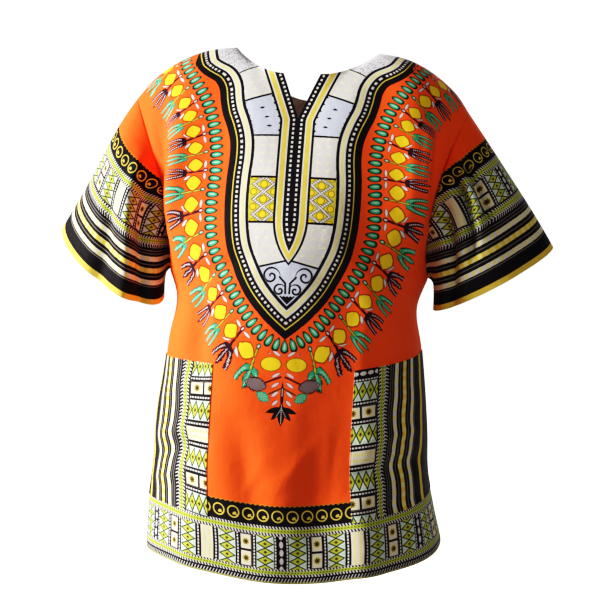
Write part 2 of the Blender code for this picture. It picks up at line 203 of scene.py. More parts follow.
# Soft troughs, and ridges where the depth is positive, each from its top to its foot: metres across and up.
Fold = namedtuple("Fold", "panel top_x top_z foot_x foot_z half_width depth")
FOLDS = (
    Fold(FRONT, -0.120, -0.335, -0.123, -0.440, 0.014, -0.0070),
    Fold(FRONT, 0.119, -0.385, 0.121, -0.445, 0.013, -0.0060),
    Fold(FRONT, -0.150, -0.330, -0.060, -0.300, 0.014, -0.0040),
    Fold(FRONT, 0.155, -0.325, 0.085, -0.275, 0.013, -0.0040),
    Fold(FRONT, -0.178, -0.230, -0.183, -0.110, 0.014, 0.0050),
    Fold(FRONT, 0.176, -0.250, 0.180, -0.120, 0.013, 0.0050),
    Fold(FRONT, -0.055, -0.520, -0.030, -0.640, 0.020, -0.0050),
    Fold(FRONT, 0.040, -0.500, 0.055, -0.650, 0.022, -0.0040),
    Fold(FRONT, -0.170, -0.565, -0.105, -0.545, 0.012, -0.0055),
    Fold(FRONT, 0.175, -0.560, 0.115, -0.575, 0.012, -0.0055),
    Fold(FRONT, -0.110, -0.640, -0.120, -0.722, 0.024, 0.0050),
    Fold(FRONT, 0.110, -0.620, 0.125, -0.722, 0.026, 0.0060),
    Fold(FRONT, 0.005, -0.640, 0.000, -0.722, 0.030, 0.0040),
    Fold(BACK, -0.045, -0.180, -0.030, -0.400, 0.022, -0.0050),
    Fold(BACK, 0.060, -0.210, 0.040, -0.440, 0.024, -0.0060),
    Fold(BACK, -0.150, -0.330, -0.080, -0.285, 0.016, -0.0050),
    Fold(BACK, 0.150, -0.330, 0.090, -0.300, 0.016, -0.0050),
    Fold(BACK, -0.090, -0.480, -0.110, -0.716, 0.024, -0.0070),
    Fold(BACK, 0.020, -0.540, 0.010, -0.716, 0.026, -0.0060),
    Fold(BACK, 0.120, -0.500, 0.135, -0.716, 0.022, -0.0060),
    Fold(BACK, -0.040, -0.600, -0.045, -0.716, 0.024, 0.0060),
    Fold(BACK, 0.075, -0.580, 0.080, -0.716, 0.024, 0.0060),
)
# Small creases that the cloth has and the solid leaves out.
CREASES = (
    Fold(FRONT, -0.190, -0.100, -0.196, -0.235, 0.013, -0.0110),
    Fold(FRONT, -0.160, -0.120, -0.172, -0.260, 0.012, 0.0045),
    Fold(FRONT, 0.190, -0.115, 0.183, -0.235, 0.006, -0.0090),
    Fold(FRONT, 0.177, -0.125, 0.170, -0.240, 0.007, 0.0035),
    Fold(FRONT, 0.160, -0.130, 0.160, -0.260, 0.012, 0.0040),
    Fold(FRONT, -0.085, -0.380, -0.080, -0.740, 0.070, 0.0070),
    Fold(FRONT, 0.075, -0.370, 0.080, -0.740, 0.060, -0.0080),
    Fold(FRONT, 0.105, -0.240, 0.110, -0.330, 0.026, -0.0040),
    Fold(FRONT, 0.114, -0.310, 0.118, -0.440, 0.022, 0.0070),
    Fold(FRONT, 0.116, -0.420, 0.120, -0.700, 0.022, 0.0045),
    Fold(FRONT, 0.152, -0.420, 0.150, -0.700, 0.016, -0.0030),
    Fold(FRONT, -0.112, -0.350, -0.112, -0.480, 0.010, -0.0030),
    Fold(FRONT, 0.000, -0.600, 0.045, -0.540, 0.010, 0.0018),
    Fold(FRONT, 0.010, -0.640, 0.050, -0.600, 0.012, -0.0016),
    Fold(FRONT, -0.165, -0.540, -0.110, -0.520, 0.009, 0.0030),
    Fold(FRONT, -0.175, -0.600, -0.120, -0.585, 0.009, 0.0026),
    Fold(FRONT, 0.170, -0.520, 0.110, -0.535, 0.009, 0.0028),
    Fold(FRONT, 0.180, -0.610, 0.120, -0.625, 0.010, -0.0026),
    Fold(FRONT, -0.150, -0.300, -0.125, -0.345, 0.006, -0.0020),
    Fold(FRONT, 0.150, -0.300, 0.128, -0.350, 0.006, -0.0020),
    Fold(FRONT, -0.020, -0.560, -0.045, -0.610, 0.007, 0.0008),
    Fold(FRONT, 0.075, -0.530, 0.070, -0.610, 0.008, -0.0012),
    Fold(BACK, -0.160, -0.300, -0.110, -0.335, 0.007, -0.0020),
    Fold(BACK, 0.160, -0.300, 0.115, -0.340, 0.007, -0.0020),
    Fold(BACK, 0.010, -0.420, 0.025, -0.520, 0.010, -0.0014),
    Fold(BACK, -0.070, -0.400, -0.060, -0.470, 0.009, 0.0012),
)

# The yoke's outline and the line of leaf drops round it, on the wearer's left half: metres across and up.
YOKE_FRONT = (
    (0.0000, -0.402), (0.0280, -0.378), (0.0530, -0.349), (0.0700, -0.319), (0.0820, -0.290), (0.0880, -0.260),
    (0.0905, -0.225), (0.0900, -0.190), (0.0880, -0.162), (0.0890, -0.140), (0.0945, -0.121), (0.1030, -0.101),
    (0.1080, -0.082), (0.1110, -0.066), (0.1180, -0.054), (0.1280, -0.048), (0.1390, -0.041), (0.1500, -0.030),
)
YOKE_BACK = (
    (0.152, -0.040), (0.140, -0.070), (0.118, -0.104), (0.088, -0.131), (0.048, -0.149), (0.000, -0.155),
)
DROPS_FRONT = (
    (0.0000, -0.4120), (0.0309, -0.3973), (0.0561, -0.3675), (0.0785, -0.3333), (0.0967, -0.3024),
    (0.1075, -0.2698), (0.1105, -0.2400), (0.1095, -0.2100), (0.1070, -0.1800), (0.1085, -0.1480),
    (0.1155, -0.1140), (0.1275, -0.0830), (0.1440, -0.0580), (0.1640, -0.0310),
)
DROPS_BACK = (
    (0.1670, -0.048), (0.1540, -0.082), (0.1300, -0.118), (0.0980, -0.147), (0.0540, -0.167), (0.0, -0.173),
)
YOKE_SEAM = 0.160
DROPS_SEAM = 0.173


def side_name(side):
    return "right" if side == RIGHT else "left"


def column_of(table, name):
    return np.array([getattr(row, name) for row in table])


def ease(start, leave, end, arrive, share):
    """A smooth curve from start to end that leaves and arrives with the given tangents."""
    square = share * share
    cube = square * share
    return (
        (2 * cube - 3 * square + 1) * start
        + (cube - 2 * square + share) * leave
        + (3 * square - 2 * cube) * end
        + (cube - square) * arrive
    )


def along(table, key, name, place, mirrored=False):
    """One column of a table, read smoothly at any place on the key column. A mirrored one starts level."""
    keys = column_of(table, key)
    values = column_of(table, name)
    slopes = np.gradient(values, keys)
    if mirrored:
        slopes[0] = 0.0
    before = np.clip(np.searchsorted(keys, place, side="right") - 1, 0, len(keys) - 2)
    step = keys[before + 1] - keys[before]
    share = np.clip((place - keys[before]) / step, 0.0, 1.0)
    return ease(
        values[before], slopes[before] * step, values[before + 1], slopes[before + 1] * step, share
    )


def section_point(side, facing, share, height):
    """A point of the body below the underarm, from its share of the way to the side seam and its height."""
    half_width = along(SECTIONS, "height", "half_width", height)
    centre = along(SECTIONS, "height", "centre", height)
    depth = along(SECTIONS, "height", "front_depth" if facing == FRONT else "back_depth", height)
    pocket_share = POCKET_COLUMN / COLUMNS
    pocket_angle = np.arcsin((POCKET_EDGE / half_width) ** (SQUARENESS / 2))
    angle = np.where(
        share < pocket_share,
        share / pocket_share * pocket_angle,
        pocket_angle + (share - pocket_share) / (1 - pocket_share) * (math.pi / 2 - pocket_angle),
    )
    out = np.sin(angle) ** (2 / SQUARENESS)
    ahead = np.clip(np.cos(angle), 0.0, 1.0) ** (2 / SQUARENESS)
    return np.stack([centre + side * half_width * out, facing * depth * ahead, height], axis=-1)


def row_height(side, facing, share, row):
    """Height of each row below the underarm: the pocket's edges lie on rows."""
    panel = "front_" if facing == FRONT else "back_"
    hem = along(HEMS, "share", panel + side_name(side), share, mirrored=True)
    pocket_seam = POCKET_TOP_RIGHT if side == RIGHT else POCKET_TOP_LEFT
    inner = POCKET_COLUMN / COLUMNS
    slope = np.clip((share - inner) / (1 - inner), 0.0, 1.0)
    pocket_top = POCKET_TOP_INNER + (pocket_seam - POCKET_TOP_INNER) * slope
    rows = (0, POCKET_FIRST_ROW, POCKET_LAST_ROW, LOWER_ROWS)
    edges = (hem, hem + POCKET_LIFT, pocket_top, np.full_like(share, UNDERARM))
    height = np.array(edges[-1])
    for first, last, low, high in zip(rows, rows[1:], edges, edges[1:]):
        inside = (row >= first) & (row < last)
        height = np.where(inside, low + (high - low) * (row - first) / (last - first), height)
    return height


def pulls_at(table, share, side, facing):
    """The leaving and arriving tangents at a share, turned to this side and panel."""
    columns = [along(table, "share", name, share, mirrored=True) for name in Pull._fields[1:]]
    leave = np.stack([side * columns[0], facing * columns[1], columns[2]], axis=-1)
    arrive = np.stack([side * columns[3], facing * columns[4], columns[5]], axis=-1)
    return leave, arrive


def top_line(side, facing, share):
    """The neckline from its middle to the neck point, and then the shoulder seam."""
    neck = np.clip(share / NECK_SHARE, 0.0, 1.0)
    depth, drop = (
        (FRONT_NECK_DEPTH, FRONT_NECK_DROP) if facing == FRONT else (BACK_NECK_DEPTH, BACK_NECK_DROP)
    )
    seam = np.clip((share - NECK_SHARE) / (1 - NECK_SHARE), 0.0, 1.0)
    out = neck * along(SHOULDERS, "share", side_name(side) + "_out", seam)
    height = neck * along(SHOULDERS, "share", side_name(side) + "_height", seam)
    bow = 1 - neck**2
    return np.stack([side * out, facing * depth * bow, height - drop * bow], axis=-1)


def half_panel(side, facing):
    """Points of one half of the front or back, rows from the hem up and columns from the centre out."""
    share = np.arange(COLUMNS * FINE + 1) / (COLUMNS * FINE)
    rows = (np.arange(LOWER_ROWS * FINE) / FINE)[:, None]
    shares = np.broadcast_to(share, (len(rows), len(share)))
    lower = section_point(side, facing, shares, row_height(side, facing, shares, rows))
    start = section_point(side, facing, share, np.full_like(share, UNDERARM))
    leave, arrive = pulls_at(FRONT_PULLS if facing == FRONT else BACK_PULLS, share, side, facing)
    rise = (np.arange(UPPER_ROWS * FINE + 1) / (UPPER_ROWS * FINE))[:, None, None]
    upper = ease(start, leave, top_line(side, facing, share), arrive, rise)
    if facing == FRONT:
        opening = np.clip((rise[:, :, 0] - SLIT_START) / (1 - SLIT_START), 0.0, 1.0)
        upper[:, :, 0] += side * SLIT_HALF_WIDTH * opening * np.clip(1 - share / NECK_SHARE, 0.0, 1.0)
    soften = 0.5 * np.clip((1 - rise[:, :, :1]) * 6, 0.0, 1.0)
    for _ in range(60):
        upper[:, 1:-1] += soften * (upper[:, :-2] / 2 + upper[:, 2:] / 2 - upper[:, 1:-1])
    return np.concatenate([lower, upper])


def unit(vectors):
    return vectors / np.linalg.norm(vectors, axis=-1, keepdims=True)


def grid_normals(points, turn):
    across = np.gradient(points, axis=1)
    up = np.gradient(points, axis=0)
    return unit(turn * np.cross(across, up))


def panel_normals(points, side, facing):
    """Outward directions. Along the centre, side seam and shoulder seam both neighbours share them."""
    normals = grid_normals(points, -side * facing)
    up = np.gradient(points, axis=0)
    level = np.zeros(len(points))
    centre = up[:, 0]
    normals[:, 0] = unit(np.stack([level, facing * centre[:, 2], -facing * centre[:, 1]], axis=-1))
    lower = LOWER_ROWS * FINE + 1
    seam = up[:lower, -1]
    normals[:lower, -1] = unit(np.stack([side * seam[:, 2], level[:lower], -side * seam[:, 0]], axis=-1))
    first = round(NECK_SHARE * COLUMNS * FINE)
    shoulder = np.gradient(points[-1], axis=0)[first:]
    none = np.zeros(len(shoulder))
    normals[-1, first:] = unit(np.stack([-side * shoulder[:, 2], none, side * shoulder[:, 0]], axis=-1))
    return normals


def distance_to_line(x, y, start, end):
    """Distance from each place to the stretch between two others, and the share of the way along it."""
    step = np.subtract(end, start)
    share = np.clip(((x - start[0]) * step[0] + (y - start[1]) * step[1]) / (step @ step), 0.0, 1.0)
    return np.hypot(x - start[0] - share * step[0], y - start[1] - share * step[1]), share


def panel_folds(points, side, facing):
    """How far each point of a half panel stands out or in: folds, creases and a slight unevenness."""
    x, z = points[:, :, 0], points[:, :, 2]
    height = np.zeros(points.shape[:2])
    for fold in FOLDS + CREASES:
        if fold.panel == facing:
            away, share = distance_to_line(x, z, (fold.top_x, fold.top_z), (fold.foot_x, fold.foot_z))
            ends = 0.35 + 0.65 * np.sin(math.pi * np.clip(0.1 + 0.8 * share, 0.0, 1.0))
            height += fold.depth * ends * np.exp(-((away / fold.half_width) ** 2))
    below = np.clip((-0.15 - z) / 0.15, 0.0, 1.0)
    uneven = np.sin(47 * x + 9 * z + facing) * np.sin(31 * z - 11 * x) + 0.6 * np.sin(83 * x + 40 * z)
    height += 0.0007 * below * uneven
    share = np.arange(points.shape[1]) / (points.shape[1] - 1)
    row = np.arange(len(points))[:, None] / FINE
    to_seam = np.clip((1 - share) * 12, 0.0, 1.0)
    to_top = np.clip((LOWER_ROWS + UPPER_ROWS - row) / 3, 0.0, 1.0)
    return height * to_seam * to_top


def lengths(points, axis):
    """Distance along the cloth from the first point of each row or column."""
    steps = np.linalg.norm(np.diff(points, axis=axis), axis=-1)
    start = np.zeros_like(np.take(steps, [0], axis=axis))
    return np.concatenate([start, np.cumsum(steps, axis=axis)], axis=axis)


def smooth_path(points, steps=8):
    """A dense smooth path through points. Its first and last points only give the direction there."""
    points = np.asarray(points, float)
    slopes = (points[2:] - points[:-2]) / 2
    share = (np.arange(steps) / steps)[:, None]
    spans = [
        ease(points[i + 1], slopes[i], points[i + 2], slopes[i + 1], share) for i in range(len(slopes) - 1)
    ]
    return np.concatenate(spans + [points[-2:-1]])


def nearest_on(path, points):
    """Distance from each point to a path, and how far along the path its nearest place lies."""
    flat = points.reshape(-1, 3)
    best = np.full(len(flat), 9.0)
    place = np.zeros(len(flat))
    done = 0.0
    for start, end in zip(path, path[1:]):
        step = end - start
        length = np.linalg.norm(step)
        share = np.clip((flat - start) @ step / length**2, 0.0, 1.0)
        away = np.linalg.norm(flat - start - share[:, None] * step, axis=1)
        closer = away < best
        best[closer] = away[closer]
        place[closer] = done + share[closer] * length
        done += length
    return best.reshape(points.shape[:2]), place.reshape(points.shape[:2])


def laid_on(grid, side, places):
    """The places, given across and up, set on the cloth."""
    flat = grid.reshape(-1, 3)
    laid = []
    for across, up in places:
        away = np.hypot(flat[:, 0] - side * across, flat[:, 2] - up)
        near = np.argsort(away)[:4]
        weight = 1 / (away[near] + 1e-5)
        laid.append((side * across, float(flat[near, 1] @ weight / weight.sum()), up))
    return laid


def inside(x, z, outline):
    """Whether each place lies inside a closed outline."""
    found = np.zeros(x.shape, bool)
    for (x1, z1), (x2, z2) in zip(outline, outline[1:] + outline[:1]):
        if z1 != z2:
            crosses = (z1 > z) != (z2 > z)
            found ^= crosses & (x < (x2 - x1) * (z - z1) / (z2 - z1) + x1)
    return found


def print_guide(side, front, back, ahead, behind, seam, pointed):
    """A path of the print, from the front's middle over the shoulder to the back's middle."""
    rising = laid_on(front, side, ahead)
    falling = laid_on(back, side, behind)
    at_seam = np.abs(np.abs(front[-1, :, 0]) - seam).argmin()
    across, depth, up = rising[1]
    before = tuple(2 * np.subtract(rising[0], rising[1]) + rising[1]) if pointed else (-across, depth, up)
    across, depth, up = falling[-2]
    return smooth_path([before] + rising + [tuple(front[-1, at_seam])] + falling + [(-across, depth, up)])


def distance_from_edge(grid, facing, side):
    """Distance from each point of a half panel to the cut edge of the neck and slit."""
    neck = round(NECK_SHARE * COLUMNS * FINE)
    edge = grid[-1, neck::-1]
    if facing == FRONT:
        slit = grid[-2 : round((LOWER_ROWS + SLIT_START * UPPER_ROWS) * FINE) : -1, 0]
        edge = np.concatenate([edge, slit])
    return nearest_on(edge[::3], grid)[0]


def cloth(name, sheets):
    """One closed piece of cloth from grids of outer points and directions, with its places on the print."""
    shell = bmesh.new()
    sheet_of = shell.verts.layers.int.new("sheet")
    row_of = shell.verts.layers.int.new("row")
    column_at = shell.verts.layers.int.new("column")
    layers = {key: shell.verts.layers.float_vector.new(key) for key in sheets[0]["places"]}
    face = shell.verts.layers.float.new("outside")
    for number, sheet in enumerate(sheets):
        outer = sheet["outer"]
        rows, columns = outer.shape[0] - 1, outer.shape[1] - 1
        made = bmesh.ops.create_grid(shell, x_segments=columns, y_segments=rows, size=0.5)
        for vert in made["verts"]:
            row = round((vert.co.y + 0.5) * rows)
            column = round((vert.co.x + 0.5) * columns)
            vert[sheet_of], vert[row_of], vert[column_at] = number, row, column
            vert.co = outer[row, column]
            vert[face] = 1.0
            for key, layer in layers.items():
                vert[layer] = sheet["places"][key][row, column]
    bmesh.ops.remove_doubles(shell, verts=shell.verts, dist=1e-6)
    wall = bmesh.ops.extrude_face_region(shell, geom=shell.faces[:], use_keep_orig=True)
    for vert in wall["geom"]:
        if isinstance(vert, bmesh.types.BMVert):
            sheet = sheets[vert[sheet_of]]
            row, column = vert[row_of], vert[column_at]
            vert.co = sheet["outer"][row, column] - CLOTH * sheet["direction"][row, column]
            vert[face] = 0.0
    bmesh.ops.recalc_face_normals(shell, faces=shell.faces)
    mesh = bpy.data.meshes.new(name)
    shell.to_mesh(mesh)
    shell.free()
    mesh.shade_smooth()
    mesh.set_sharp_from_angle(angle=math.radians(60))
    piece = bpy.data.objects.new(name, mesh)
    bpy.context.scene.collection.objects.link(piece)
    return piece


def vector_of(*columns):
    return np.stack(np.broadcast_arrays(*columns), axis=-1)


STRIP_FOOT = 12  # the row where the centre strip's own measure starts, below its tip
YOKE_DROPS = 72  # drops round each half of the ring, from the middle of the front to the middle of the back

points = {(side, facing): half_panel(side, facing) for side in (RIGHT, LEFT) for facing in (FRONT, BACK)}
normals = {(side, facing): panel_normals(grid, side, facing) for (side, facing), grid in points.items()}
places = {}
for side in (RIGHT, LEFT):
    front, back = points[side, FRONT], points[side, BACK]
    yoke_path = print_guide(side, front, back, YOKE_FRONT, YOKE_BACK, YOKE_SEAM, True)
    drop_path = print_guide(side, front, back, DROPS_FRONT, DROPS_BACK, DROPS_SEAM, False)
    ring_length = np.linalg.norm(np.diff(drop_path, axis=0), axis=1).sum()
    for facing, outline in ((FRONT, YOKE_FRONT), (BACK, YOKE_BACK)):
        grid = points[side, facing]
        x, z = side * grid[:, :, 0], grid[:, :, 2]
        up = lengths(grid, 0)
        across = lengths(grid, 1)
        middle = (-0.06, outline[0][1] if facing == FRONT else outline[-1][1])
        ends = [(YOKE_SEAM, 0.1), (-0.06, 0.1), middle]
        bound = list(outline) + ends if facing == FRONT else ends[1:] + list(outline)[::-1] + ends[:1]
        within = np.where(inside(x, z, bound), 1.0, -1.0)
        to_yoke, round_yoke = nearest_on(yoke_path, grid)
        to_drops, round_ring = nearest_on(drop_path, grid)
        in_drops = list(DROPS_FRONT) if facing == FRONT else list(DROPS_BACK)
        low = (-0.06, min(place[1] for place in in_drops))
        closing = [(DROPS_SEAM, 0.1), (-0.06, 0.1), low]
        ring = in_drops + closing if facing == FRONT else closing[1:] + in_drops[::-1] + closing[:1]
        beyond = np.where(inside(x, z, ring), -1.0, 1.0)
        edge = distance_from_edge(grid, facing, side)
        middle_line = grid[STRIP_FOOT * FINE :, 0]
        middle_line = np.concatenate([middle_line, middle_line[-1:] * 61 - middle_line[-2:-1] * 60])
        from_middle, _ = nearest_on(middle_line, grid)
        for _ in range(90):
            middle_line[1:-1] += (middle_line[:-2] + middle_line[2:] - 2 * middle_line[1:-1]) / 4
        _, along_middle = nearest_on(middle_line, grid)
        strip_foot = up[STRIP_FOOT * FINE, 0] - up[LOWER_ROWS * FINE, 0]
        round_drops = round_ring / ring_length * YOKE_DROPS
        places[side, facing] = {
            "place": 1000 * vector_of(side * across, up - up[LOWER_ROWS * FINE], up),
            "yoke": 1000 * vector_of(within * to_yoke, edge, round_yoke),
            "strip": 1000 * vector_of(from_middle, along_middle + strip_foot, across[:, -1:] - across),
            "ring": vector_of(round_drops, 1000 * beyond * to_drops, 1000 * (up[-1] - up)),
        }


def swatch(red, green, blue):
    """A linear colour from the eight-bit values of a dye swatch."""
    values = [part / 255 for part in (red, green, blue)]
    return tuple(part / 12.92 if part < 0.04 else ((part + 0.055) / 1.055) ** 2.4 for part in values) + (1.0,)


class Reading:
    """One number that varies over the cloth. Arithmetic on it writes the nodes that work it out."""

    def __init__(self, cotton, socket):
        self.cotton, self.socket = cotton, socket

    def __add__(self, other):
        return self.cotton.maths("ADD", self, other)

    def __sub__(self, other):
        return self.cotton.maths("SUBTRACT", self, other)

    def __rsub__(self, other):
        return self.cotton.maths("SUBTRACT", other, self)

    def __mul__(self, other):
        return self.cotton.maths("MULTIPLY", self, other)

    def __truediv__(self, other):
        return self.cotton.maths("DIVIDE", self, other)

    def __pow__(self, other):
        return self.cotton.maths("POWER", self, other)

    def __abs__(self):
        return self.cotton.maths("ABSOLUTE", self)

    def __or__(self, other):
        return self.cotton.maths("MINIMUM", self, other)

    def __and__(self, other):
        return self.cotton.maths("MAXIMUM", self, other)

    __radd__, __rmul__ = __add__, __mul__

    def wrapped(self, pitch):
        """The distance from the nearest whole number of pitches."""
        return self.cotton.maths("WRAP", self, pitch / 2, -pitch / 2)

    def folded(self, length):
        """The reading run to and fro between 0 and a length."""
        return self.cotton.maths("PINGPONG", self, length)


class Cotton:
    """Dyes laid one over another on a ground, and how far the cloth's surface rises, in a tree of nodes."""

    def __init__(self, tree, ground):
        self.tree = tree
        self.colour = ground
        self.height = None

    def node(self, kind, settings, sockets, output=0):
        """One node: its settings first, then the values or links of its sockets."""
        made = self.tree.nodes.new("ShaderNode" + kind)
        for key, value in settings.items():
            setattr(made, key, value)
        for key, value in sockets.items():
            value = getattr(value, "socket", value)
            if isinstance(value, bpy.types.NodeSocket):
                self.tree.links.new(value, made.inputs[key])
            else:
                made.inputs[key].default_value = value
        return made.outputs[output]

    def maths(self, operation, *values, clamp=False):
        settings = {"operation": operation, "use_clamp": clamp}
        return Reading(self, self.node("Math", settings, dict(enumerate(values))))

    def readings(self, attribute):
        """The three numbers of a place on the cloth, in millimetres."""
        place = self.node("Attribute", {"attribute_name": attribute}, {}, 1)
        return [Reading(self, self.node("SeparateXYZ", {}, {0: place}, part)) for part in range(3)]

    def noise(self, place, scale, detail=2.0):
        return Reading(self, self.node("TexNoise", {}, {0: place, 2: scale, 3: detail}))

    def dye(self, distance, colour, within=None, soft=0.5):
        """Lay a colour inside a shape, and only inside another where given: both are distances in mm."""
        if within is not None:
            distance = distance & within
        mask = self.maths("MULTIPLY_ADD", distance, -1 / soft, 0.5, clamp=True)
        self.colour = self.node("Mix", {"data_type": "RGBA"}, {0: mask, 6: self.colour, 7: colour}, 2)

    def lay(self, part, *values):
        """Lay a part of the print that several pieces share."""
        self.colour = self.node("Group", {"node_tree": part}, dict(enumerate([self.colour, *values])))

    def raise_by(self, distance, height, soft=0.8):
        """Raise or sink the cloth inside a shape, in millimetres."""
        mask = self.maths("MULTIPLY_ADD", distance, -1 / soft, 0.5, clamp=True)
        self.height = mask * height if self.height is None else self.height + mask * height


def print_part(paint, *inputs):
    """A part of the print made once: it takes the dyes below and some readings, and gives new dyes."""
    tree = bpy.data.node_groups.new(paint.__name__, "ShaderNodeTree")
    tree.interface.new_socket("below", in_out="INPUT", socket_type="NodeSocketColor")
    for name in inputs:
        tree.interface.new_socket(name, in_out="INPUT", socket_type="NodeSocketFloat")
    tree.interface.new_socket("above", in_out="OUTPUT", socket_type="NodeSocketColor")
    taken = tree.nodes.new("NodeGroupInput").outputs
    part = Cotton(tree, taken[0])
    paint(part, *[Reading(part, taken[name]) for name in inputs])
    tree.links.new(part.colour, tree.nodes.new("NodeGroupOutput").inputs[0])
    return tree


def oval(x, y, half_width, half_height):
    small = min(half_width, half_height)
    return ((x / half_width) ** 2 + (y / half_height) ** 2) ** 0.5 * small - small


def leaf(x, y, half_width, half_length):
    """A shape pointed at both ends, which lie up and down."""
    return abs(x) + y * y * (half_width / half_length**2) - half_width


def block(x, y, half_width, half_height):
    return (abs(x) - half_width) & (abs(y) - half_height)


def lozenge(x, y, half_width, half_height):
    scale = half_width * half_height / math.hypot(half_width, half_height)
    return (abs(x) / half_width + abs(y) / half_height) * scale - scale


def stripe(x, low, high):
    return abs(x - (low + high) / 2) - (high - low) / 2


def stroke(x, y, start, end, half_width):
    """A straight line with round ends."""
    step = np.subtract(end, start)
    length = float(step @ step)
    run, rise = step[0] / length, step[1] / length
    share = x.cotton.maths("ADD", (x - start[0]) * run, (y - start[1]) * rise, clamp=True)
    across, up = x - start[0] - share * step[0], y - start[1] - share * step[1]
    return (across * across + up * up) ** 0.5 - half_width


def turned(x, y, degrees):
    cos, sin = math.cos(math.radians(degrees)), math.sin(math.radians(degrees))
    return x * cos + y * sin, y * cos - x * sin


ORANGE = swatch(255, 93, 33)
BLACK = swatch(14, 10, 16)
WHITE = swatch(214, 211, 210)
COOL_WHITE = swatch(196, 202, 220)
CREAM = swatch(220, 213, 194)
PALE_YELLOW = swatch(222, 214, 144)
GOLD = swatch(212, 188, 84)
YELLOW = swatch(244, 206, 44)
STRAW = swatch(226, 196, 84)
LIME = swatch(176, 188, 68)
TEAL = swatch(60, 160, 122)
MINT = swatch(166, 218, 186)
DEEP_GREEN = swatch(20, 58, 42)
MAROON = swatch(48, 18, 30)
BROWN = swatch(84, 56, 16)
ROSE = swatch(222, 202, 202)


def border_print(cotton, up, along, lime_low, lime_high):
    """The border, from the cloth's edge inwards: stripes, a figured band between lime ropes, rings."""
    scallops = up - 181.5 + abs(along.wrapped(6.5)) * 0.55
    cotton.dye(scallops, swatch(176, 128, 40))
    cotton.dye(scallops + 1.1, BLACK)
    cotton.dye(stripe(up, 0, 8), STRAW)
    for low, high, colour in ((28.3, 35, WHITE), (45, 51.7, STRAW), (61.3, 68, WHITE)):
        cotton.dye(stripe(up, low, high), colour)
        cotton.dye(abs((along + low).wrapped(11)) - 2.7, PALE_YELLOW, stripe(up, low, high), soft=1.2)
    for middle in (25.6, 40, 56.5, 72, 76):
        cotton.dye(abs(up - middle) - 0.6, swatch(116, 110, 106))
    cotton.dye(abs((along - up * 0.5).wrapped(4.2)) - 0.55, WHITE, stripe(up, 80, 86))
    slanting = abs((along + up * 0.45).wrapped(4.2)) - 0.95
    for low, high in ((lime_low - 3.2, lime_high + 3.2), (141.3, 153.5)):
        cotton.dye(slanting, WHITE, stripe(up, low, high))
    for low, high in ((lime_low, lime_high), (145, 150)):
        cotton.dye(stripe(up, low, high), LIME)
        twist = block(up - (low + high) / 2, (along + up * 0.45).wrapped(4.2), 0.9, 1.1)
        cotton.dye(twist, swatch(92, 106, 40))
    ring = oval(up - 166.5, along.wrapped(19.5), 8, 8)
    cotton.dye(abs(ring + 0.8) - 0.8, GOLD)
    bud_across, bud_up = turned(along.wrapped(19.5), up - 166.5, 35)
    bud = oval(bud_across, bud_up + 2.5, 2.6, 1.7) | stroke(bud_across, bud_up, (0, -2), (1.6, -6), 0.7)
    cotton.dye(bud, GOLD)

    place = along.folded(100)
    height = up - 119.5
    inside_band = abs(height) - 21.5
    cotton.dye(inside_band, CREAM)
    cotton.dye(stripe(place, 2.2, 5.0), PALE_YELLOW, inside_band)
    for middle, half in ((12, 4), (42.5, 3.5), (64.5, 3.2), (96, 6.5)):
        cotton.dye(abs(place - middle) - half, BLACK, inside_band)
        dots = abs(place - min(middle, 92.5)) - 0.9
        cotton.dye(dots, WHITE, inside_band & (abs(height.wrapped(4.2)) - 1.4))
    cotton.dye(oval(place - 100, height.wrapped(10.75), 2.5, 4.4), WHITE, inside_band)
    cell = height.wrapped(10.75)
    for middle in (27.5, 79):
        across = place - middle
        inside_cell = inside_band & (abs(across) - 11.2)
        cotton.dye(abs(across) - 11.2, WHITE, inside_band)
        cotton.dye(lozenge(abs(across) - 10.5, abs(cell) - 5.4, 4, 2.6), swatch(172, 212, 186), inside_cell)
        rhomb = lozenge(across, cell, 12.4, 6.2)
        cotton.dye(rhomb, DEEP_GREEN, inside_cell)
        cotton.dye(rhomb + 1.6, LIME, inside_cell)
        cotton.dye(rhomb + 3.6, swatch(206, 200, 96), inside_cell)
        cotton.dye(lozenge(across, cell, 3.0, 2.2), BROWN, inside_cell)
    across, square = place - 53.5, abs(height) - 10.75
    cotton.dye(abs(across) - 7.8, BLACK, inside_band)
    cotton.dye(block(across, square, 6.6, 9.2), CREAM, inside_band)
    cotton.dye(oval(across, square, 5.4, 5.8), PALE_YELLOW, inside_band, soft=1.5)
    turn = cotton.maths("ARCTAN2", square, across)
    petals = (across * across + square * square) ** 0.5 * (cotton.maths("COSINE", turn * 8) * 0.2 + 1)
    cotton.dye(petals - 3.6, swatch(104, 88, 44), inside_band)
    cotton.dye(petals - 1.2, BLACK, inside_band)


